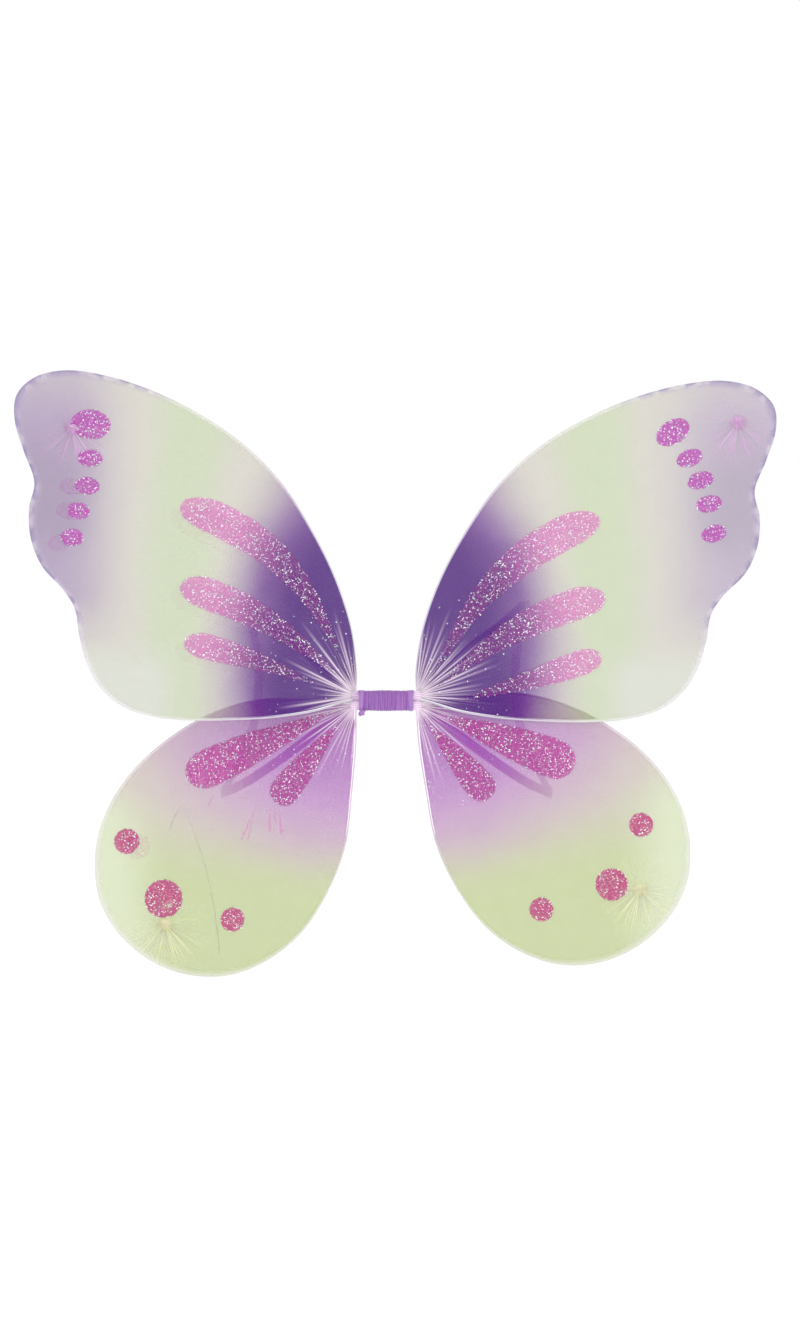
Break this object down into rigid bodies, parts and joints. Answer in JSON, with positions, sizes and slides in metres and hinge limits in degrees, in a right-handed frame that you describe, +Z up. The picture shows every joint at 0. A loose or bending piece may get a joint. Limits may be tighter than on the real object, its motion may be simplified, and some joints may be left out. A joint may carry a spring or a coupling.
{
  "type": "fairy wings",
  "caption": "Butterfly-shaped costume wings: sheer dyed nylon over sprung wire loops, with glitter prints, a ribbon-wound centre bar and elastic shoulder straps.",
  "frame": {"origin": "middle of the centre bar's flat face that rests against the wearer's back", "axes": "+X to the wearer's right along the bar, +Y from the bar's face towards the wearer, +Z up; the side that people see faces -Y"},
  "size_m": [0.6304, 0.2701, 0.5069],
  "materials": {
    "coated_wire": "white plastic-coated spring steel wire, satin",
    "upper_nylon": "sheer stretched nylon knit, dyed violet at the root, cream and pale green in the middle and lilac grey at the tip",
    "lower_nylon": "sheer stretched nylon knit, dyed lilac at the root, cream in the middle and pale green at the lower edge",
    "glitter_print": "magenta glitter print with loose pale sparkles",
    "gathered_nylon": "gathered nylon tied with thread",
    "binding_thread": "wound nylon thread",
    "core_tape": "matt cloth tape",
    "ribbon": "purple woven ribbon wound tightly in many turns",
    "elastic": "white ribbed flat elastic"
  },
  "bodies": {
    "bar": {"centre_wrap": "ribbon", "core_tape": "core_tape", "left_strap": "elastic", "right_strap": "elastic", "left_upper_outer_wire_tail": "coated_wire", "left_upper_inner_wire_tail": "coated_wire", "left_upper_root_binding": "binding_thread", "right_upper_outer_wire_tail": "coated_wire", "right_upper_inner_wire_tail": "coated_wire", "right_upper_root_binding": "binding_thread", "left_lower_outer_wire_tail": "coated_wire", "left_lower_inner_wire_tail": "coated_wire", "left_lower_root_binding": "binding_thread", "right_lower_outer_wire_tail": "coated_wire", "right_lower_inner_wire_tail": "coated_wire", "right_lower_root_binding": "binding_thread"},
    "left_upper": {"left_upper_wire": "coated_wire", "left_upper_sleeve": "upper_nylon", "left_upper_toe_knot": "gathered_nylon", "left_upper_drop_print_1": "glitter_print", "left_upper_drop_print_2": "glitter_print", "left_upper_drop_print_3": "glitter_print", "left_upper_oval_print_1": "glitter_print", "left_upper_oval_print_2": "glitter_print", "left_upper_oval_print_3": "glitter_print", "left_upper_oval_print_4": "glitter_print", "left_upper_oval_print_5": "glitter_print"},
    "right_upper": {"right_upper_wire": "coated_wire", "right_upper_sleeve": "upper_nylon", "right_upper_toe_knot": "gathered_nylon", "right_upper_drop_print_1": "glitter_print", "right_upper_drop_print_2": "glitter_print", "right_upper_drop_print_3": "glitter_print", "right_upper_oval_print_1": "glitter_print", "right_upper_oval_print_2": "glitter_print", "right_upper_oval_print_3": "glitter_print", "right_upper_oval_print_4": "glitter_print", "right_upper_oval_print_5": "glitter_print"},
    "left_lower": {"left_lower_wire": "coated_wire", "left_lower_sleeve": "lower_nylon", "left_lower_toe_knot": "gathered_nylon", "left_lower_drop_print_1": "glitter_print", "left_lower_drop_print_2": "glitter_print", "left_lower_oval_print_1": "glitter_print", "left_lower_oval_print_2": "glitter_print", "left_lower_oval_print_3": "glitter_print"},
    "right_lower": {"right_lower_wire": "coated_wire", "right_lower_sleeve": "lower_nylon", "right_lower_toe_knot": "gathered_nylon", "right_lower_drop_print_1": "glitter_print", "right_lower_drop_print_2": "glitter_print", "right_lower_oval_print_1": "glitter_print", "right_lower_oval_print_2": "glitter_print", "right_lower_oval_print_3": "glitter_print"}
  },
  "joints": [
    {"name": "left_fold", "type": "hinge", "parent": "bar", "child": "left_lower", "pos_m": [-0.0256, -0.0056, 0], "axis": [0, 0, 1], "range_deg": [-13, 48]},
    {"name": "left_upper_bend", "type": "hinge", "parent": "left_lower", "child": "left_upper", "pos_m": [-0.0256, -0.0056, 0], "axis": [0, 0, 1], "range_deg": [-8, 9]},
    {"name": "right_fold", "type": "hinge", "parent": "bar", "child": "right_lower", "pos_m": [0.0256, -0.0084, 0], "axis": [0, 0, -1], "range_deg": [-8, 53]},
    {"name": "right_upper_bend", "type": "hinge", "parent": "right_lower", "child": "right_upper", "pos_m": [0.0256, -0.0084, 0], "axis": [0, 0, -1], "range_deg": [0, 17]}
  ]
}
